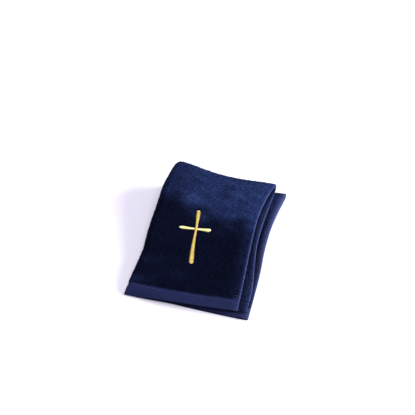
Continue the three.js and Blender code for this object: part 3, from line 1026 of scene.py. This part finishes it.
def newGroup(name, inputs, outputs):
    group = bpy.data.node_groups.new(name, "ShaderNodeTree")
    for socket, kind, value in inputs:
        made = group.interface.new_socket(socket, in_out="INPUT", socket_type=kind)
        if value is not None:
            made.default_value = value
    for socket, kind in outputs:
        group.interface.new_socket(socket, in_out="OUTPUT", socket_type=kind)
    given = group.nodes.new("NodeGroupInput").outputs
    return group, given, group.nodes.new("NodeGroupOutput").inputs


def placeGroup(tree, group, links):
    return addNode(tree, "ShaderNodeGroup", links, node_tree=group).outputs


def newMaterial(name):
    material = bpy.data.materials.new(name)
    material.use_nodes = True
    tree = material.node_tree
    return material, tree, tree.nodes["Principled BSDF"]


def dress(tree, shader, color, roughness, height=None, bump=None):
    tree.links.new(color, shader.inputs["Base Color"])
    tree.links.new(roughness, shader.inputs["Roughness"])
    if bump:
        links = {"Strength": bump[0], "Distance": bump[1], "Height": height}
        tree.links.new(addNode(tree, "ShaderNodeBump", links).outputs[0], shader.inputs["Normal"])


velourLook = {
    "shadowed": (0.0016, 0.0021, 0.0076, 1),
    "brushed": (0.0213, 0.0385, 0.124, 1),
    "tuft": (0.34, 4.0, 0.68),  # scale, detail and roughness of the flecks
    "fleckGain": 9.0,
    "tuftGain": 0.22,
    "bandDark": (0.0078, 0.0105, 0.035, 1),
    "bandLight": (0.0175, 0.0235, 0.073, 1),
    "weavePitch": 0.75,
    "weaveShare": 0.12,
    "slubStretch": (0.12, 1.1, 1.0),
    "slub": (1.0, 2.0),  # scale, detail
    "mottle": (0.35, 2.0),
    "uneven": (1.1, -0.6),  # gain, offset
    "bandFoldShade": (15.0, 4.0, 0.85),  # painted shade at the left fold, where the band curves away from the light: from, to, share
    # rim: colour of the ribbed hem near its edge, and of the painted highlight on the open edges
    "rim": (0.056, 0.076, 0.194, 1),
    "ribRim": (8.0, 1.0, 0.62),
    # painted highlight on the open edges: reach, its break-up by noise, its share on the pile
    "openEdgeLight": (4.2, 0.6, 0.85),
    "lightBreakup": (2.4, -0.5),
    "rimOnPile": (0.45, 0.55),
    # colour of the painted shade at the left fold and along the hem's edge
    "shadeDark": (0.003, 0.004, 0.014, 1),
    "hemEdgeShade": (1.3, 0.4, 0.85),
    "loopDark": (0.0022, 0.003, 0.011, 1),
    "loopLight": (0.035, 0.053, 0.155, 1),
    "loopScale": 0.7,
    "weaveBump": (0.1, 0.35),
    "bump": (0.7, 0.0008),  # strength, distance
    "roughness": (0.2, 0.75),
    "pileFleck": 0.6,
    "pileOwn": (0.5, 0.75),
    "pileTip": (0.6, 0.55),
    "pileRoughness": (-0.1, 0.95),
    "finish": {"Sheen Weight": 0.04, "Sheen Tint": (0.35, 0.47, 1.0, 1), "Sheen Roughness": 0.4,
               "Specular IOR Level": 0.015},
}


# nap colour from the tone, which holds brushed nap with painted sheen and shade, flecked by single
# tufts
def napColorGroup():
    group, given, result = newGroup(
        "napColor",
        [("Tone", "NodeSocketFloat", 0.3), ("Place", "NodeSocketVector", None),
         ("Fleck", "NodeSocketFloat", 0.5), ("Shadowed", "NodeSocketColor", velourLook["shadowed"]),
         ("Brushed", "NodeSocketColor", velourLook["brushed"])],
        [("Color", "NodeSocketColor"), ("Tuft", "NodeSocketFloat")])
    tuft = noise(group, given["Place"], *velourLook["tuft"])
    around = calc(group, "SUBTRACT", tuft, 0.5)
    fleck = scaled(group, around, times(group, given["Fleck"], velourLook["fleckGain"]), 1.0)
    tone = times(group, given["Tone"], fleck)
    tone = scaled(group, around, velourLook["tuftGain"], tone, clamp=True)
    group.links.new(blendColor(group, tone, given["Shadowed"], given["Brushed"]), result["Color"])
    group.links.new(tuft, result["Tuft"])
    return group


# fine twist lines along a thread
def threadTwistGroup():
    group, given, result = newGroup(
        "threadTwist",
        [("Along", "NodeSocketFloat", 0.0), ("Pitch", "NodeSocketFloat", 0.5)],
        [("Height", "NodeSocketFloat")])
    turns = calc(group, "DIVIDE", given["Along"], given["Pitch"])
    wave = calc(group, "SINE", times(group, turns, 2 * math.pi))
    group.links.new(scaled(group, wave, 0.5, 0.5), result["Height"])
    return group


# painted shade close under the layer above
def underLayerShadeGroup():
    group, given, result = newGroup(
        "underLayerShade",
        [("Color", "NodeSocketColor", velourLook["loopLight"]), ("Lit", "NodeSocketFloat", 1.0),
         ("Amount", "NodeSocketFloat", 1.0), ("Dark", "NodeSocketColor", velourLook["loopDark"])],
        [("Color", "NodeSocketColor")])
    share = times(group, fade(group, given["Lit"], 1.0, 0.0, layerShade["depth"]), given["Amount"])
    group.links.new(blendColor(group, share, given["Color"], given["Dark"]), result["Color"])
    return group


napColor = napColorGroup()
threadTwist = threadTwistGroup()
underLayerShade = underLayerShadeGroup()


def setInputs(node, values):
    for socket, value in values.items():
        node.inputs[socket].default_value = value


def clothFinish(shader):
    setInputs(shader, velourLook["finish"])


def velourMaterial():
    material, tree, shader = newMaterial("navyVelour")
    look = velourLook
    place = attribute(tree, "flatPlace", "Vector")
    fromSide, fromHem, pileShare, loops, ribs = (
        attribute(tree, name) for name in ("fromSide", "fromHem", "pile", "loops", "ribs"))
    napped = placeGroup(tree, napColor, {"Tone": attribute(tree, "tone"), "Place": place})
    # plain weave of the band and the ribbed hem
    split = addNode(tree, "ShaderNodeSeparateXYZ", {0: place}).outputs
    pitch = 2 * math.pi / look["weavePitch"]
    warp, weft = (calc(tree, "SINE", times(tree, split[axis], pitch)) for axis in (0, 1))
    weave = times(tree, warp, weft)
    links = {0: place, 1: look["slubStretch"]}
    stretched = addNode(tree, "ShaderNodeVectorMath", links, operation="MULTIPLY").outputs[0]
    slub = noise(tree, stretched, *look["slub"])
    mottle = noise(tree, place, *look["mottle"])
    uneven = scaled(tree, calc(tree, "ADD", slub, mottle), *look["uneven"])
    flatShare = scaled(tree, weave, look["weaveShare"], uneven, clamp=True)
    flatColor = blendColor(tree, flatShare, look["bandDark"], look["bandLight"])
    # painted shade on the band near the left fold
    toFold = calc(tree, "ABSOLUTE", calc(tree, "SUBTRACT", split[0], foldAt))
    flatColor = blendColor(tree, fade(tree, toFold, *look["bandFoldShade"]), flatColor, look["shadeDark"])
    ribbed = times(tree, fade(tree, fromSide, *look["ribRim"]), ribs)
    flatColor = blendColor(tree, ribbed, flatColor, look["rim"])
    color = blendColor(tree, pileShare, flatColor, napped["Color"])
    # uncut loops of the back
    loopShare = times(tree, loops, pileShare)
    links = {"Vector": place, "Scale": look["loopScale"]}
    grain = addNode(tree, "ShaderNodeTexVoronoi", links).outputs["Distance"]
    loopColor = blendColor(tree, grain, look["loopLight"], look["loopDark"])
    color = blendColor(tree, loopShare, color, loopColor)
    # painted highlight along the open sides, broken up in places, and painted shade under the layer
    # above and at the folded hem
    lightBreakup = scaled(tree, mottle, *look["lightBreakup"], clamp=True)
    paintedEdgeLight = times(tree, fade(tree, fromSide, *look["openEdgeLight"]), lightBreakup)
    paintedEdgeLight = times(tree, paintedEdgeLight, scaled(tree, pileShare, *look["rimOnPile"]))
    color = blendColor(tree, paintedEdgeLight, color, look["rim"])
    color = placeGroup(tree, underLayerShade, {
        "Color": color, "Lit": fade(tree, attribute(tree, "beyond"), *layerShade["lit"]),
        "Amount": calc(tree, "ADD", loops, ribs)})["Color"]
    # painted shade along the hem's edge
    color = blendColor(tree, fade(tree, fromHem, *look["hemEdgeShade"]), color, look["shadeDark"])
    slubGain, weaveGain = look["weaveBump"]
    pileHeight = times(tree, napped["Tuft"], pileShare)
    flatOnly = calc(tree, "SUBTRACT", 1.0, pileShare)
    weaveHeight = times(tree, scaled(tree, weave, slubGain, slub), flatOnly)
    loopHeight = times(tree, calc(tree, "SUBTRACT", 1.0, grain), loopShare)
    height = calc(tree, "ADD", scaled(tree, weaveHeight, weaveGain, pileHeight), loopHeight)
    dress(tree, shader, color, scaled(tree, pileShare, *look["roughness"]), height, look["bump"])
    clothFinish(shader)
    return material


def pileMaterial():
    material, tree, shader = newMaterial("navyPile")
    napped = placeGroup(tree, napColor, {
        "Tone": attribute(tree, "tone"), "Place": attribute(tree, "flatPlace", "Vector"),
        "Fleck": velourLook["pileFleck"]})
    tip = attribute(tree, "tip")
    own = scaled(tree, attribute(tree, "shade"), *velourLook["pileOwn"])
    shade = times(tree, scaled(tree, tip, *velourLook["pileTip"]), own)
    gray = addNode(tree, "ShaderNodeCombineColor", {0: shade, 1: shade, 2: shade}).outputs[0]
    color = blendColor(tree, 1.0, napped["Color"], gray, "MULTIPLY")
    dress(tree, shader, color, scaled(tree, tip, *velourLook["pileRoughness"]))
    clothFinish(shader)
    return material


# twist: its pitch and its share of the colour; roughness: gain and offset
# gold: tip is the colour of the painted highlight, rim the colour of the painted shade at the
# outline
threadLook = {
    "bar": {"dark": (0.52, 0.49, 0.08, 1), "light": (0.95, 0.96, 0.43, 1),
            "tip": (0.97, 0.97, 0.67, 1), "crossing": (0.84, 0.83, 0.27, 1),
            "rim": (0.18, 0.15, 0.01, 1)},
    "upright": {"dark": (0.24, 0.14, 0.004, 1), "light": (0.76, 0.6, 0.075, 1),
                "tip": (0.84, 0.74, 0.38, 1), "crossing": (0.76, 0.43, 0.08, 1),
                "rim": (0.14, 0.07, 0.002, 1)},
    "gold": {"twist": (0.45, 0.3), "bump": (0.35, 0.00015), "roughness": (0.1, 0.26),
             "specular": 0.8, "nearCrossing": (26.0, 3.0, 0.6), "tipHighlight": (3.2, 0.6, 0.85),
             "crownHighlight": (0.45, 0.0, 0.35), "flankShade": (0.5, 1.0, 0.85)},
    "hem": {"dark": (0.02, 0.03, 0.1, 1), "light": (0.062, 0.086, 0.25, 1),
            "twist": (0.6, 0.4), "bump": (0.4, 0.0001), "roughness": (0.15, 0.6)},
    "loops": {"dark": velourLook["loopDark"], "light": velourLook["loopLight"],
              "twist": (0.5, 0.25), "bump": (0.5, 0.0001), "roughness": (-0.1, 0.95)},
}


# twist lines of a thread, and its colour between dark and light
def threadColor(tree, twist, colors):
    pitch, share = twist
    links = {"Along": attribute(tree, "along"), "Pitch": pitch}
    lines = placeGroup(tree, threadTwist, links)["Height"]
    own = times(tree, attribute(tree, "shade"), 1 - share)
    return lines, blendColor(tree, scaled(tree, lines, share, own), colors["dark"], colors["light"])


def loopMaterial():
    material, tree, shader = newMaterial("navyLoops")
    look = threadLook["loops"]
    lines, color = threadColor(tree, look["twist"], look)
    dress(tree, shader, color, scaled(tree, lines, *look["roughness"]), lines, look["bump"])
    clothFinish(shader)
    return material


def goldMaterial(name, colors):
    material, tree, shader = newMaterial(name)
    look = threadLook["gold"]
    lines, color = threadColor(tree, look["twist"], colors)
    toRim = attribute(tree, "toRim")
    # crossing colour, painted highlights at the arm ends and along each stitch's crown, painted
    # shade at the outline where the stitches turn down
    for value, span, over in ((attribute(tree, "toCrossing"), "nearCrossing", "crossing"),
                              (attribute(tree, "toEnd"), "tipHighlight", "tip"),
                              (toRim, "crownHighlight", "tip"), (toRim, "flankShade", "rim")):
        color = blendColor(tree, fade(tree, value, *look[span]), color, colors[over])
    dress(tree, shader, color, scaled(tree, lines, *look["roughness"]), lines, look["bump"])
    setInputs(shader, {"Specular IOR Level": look["specular"]})
    return material


def hemThreadMaterial():
    material, tree, shader = newMaterial("navyThread")
    look = threadLook["hem"]
    lines, color = threadColor(tree, look["twist"], look)
    # painted shade on the stitches beside the open edge of the layer above
    color = placeGroup(tree, underLayerShade, {"Color": color, "Lit": attribute(tree, "lit")})["Color"]
    dress(tree, shader, color, scaled(tree, lines, *look["roughness"]), lines, look["bump"])
    return material


# finish, slot and replaced node of each piece
pileLook = pileMaterial()
barLook = goldMaterial("paleGoldThread", threadLook["bar"])
uprightLook = goldMaterial("goldThread", threadLook["upright"])
for piece, material, slotName, node in (
        (cloth, velourMaterial(), "velour", "towel"),
        (frontPile, pileLook, "velour", None),
        (foldPile, pileLook, "velour", None),
        (loopPiece, loopMaterial(), "velour", None),
        (hemThread, hemThreadMaterial(), "velour", None),
        (crossBar, barLook, "gold_thread_bar", "cross_bar"),
        (crossUpright, uprightLook, "gold_thread_upright", "cross_upright")):
    piece.data.materials.append(material)
    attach(piece, "root")
    if node:
        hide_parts(node)
print("materials", len(bpy.data.materials))

# floor, light and camera
studio = {
    "floorSize": 12,
    "floor": {"Base Color": (0.93, 0.925, 0.94, 1), "Roughness": 0.9, "Specular IOR Level": 0.1},
    "world": {"Color": (0.80, 0.77, 0.92, 1), "Strength": 0.41},
    "lights": {  # turn from +X, height and spread in degrees, strength, colour
        "key": (15.0, 20.0, 31.0, 5.9, (1.0, 0.99, 0.97)),
        "fill": (-70.0, 66.0, 44.0, 2.0, (0.98, 0.95, 1.1)),
    },
    "cameraPlace": (0.3678, -1.5073, 1.6466),
    "cameraTurn": (45.0, 0.0, 13.61),
    "lens": 112.77,
    "sensor": 36,
}


def makeStudio():
    bpy.ops.mesh.primitive_plane_add(size=studio["floorSize"], location=(0, 0, 0))
    floor = bpy.context.object
    floor.name = "studio_floor"
    material, _, shader = newMaterial("studioFloor")
    setInputs(shader, studio["floor"])
    floor.data.materials.append(material)
    world = bpy.data.worlds.new("studioLight")
    bpy.context.scene.world = world
    world.use_nodes = True
    setInputs(world.node_tree.nodes["Background"], studio["world"])
    for name, (plan, height, spread, strength, color) in studio["lights"].items():
        light = bpy.data.lights.new(name, "SUN")
        light.angle = math.radians(spread)
        light.energy = strength
        light.color = color
        lamp = addObject(name, light)
        lamp.rotation_euler = (0, math.radians(90 - height), math.radians(plan))
    lens = bpy.data.cameras.new("camera")
    lens.lens = studio["lens"]
    lens.sensor_width = studio["sensor"]
    camera = addObject("camera", lens)
    camera.location = studio["cameraPlace"]
    camera.rotation_euler = [math.radians(angle) for angle in studio["cameraTurn"]]
    bpy.context.scene.camera = camera
    bpy.context.scene.view_settings.view_transform = "Standard"


makeStudio()
print("studio ready")

bpy.context.view_layer.update()
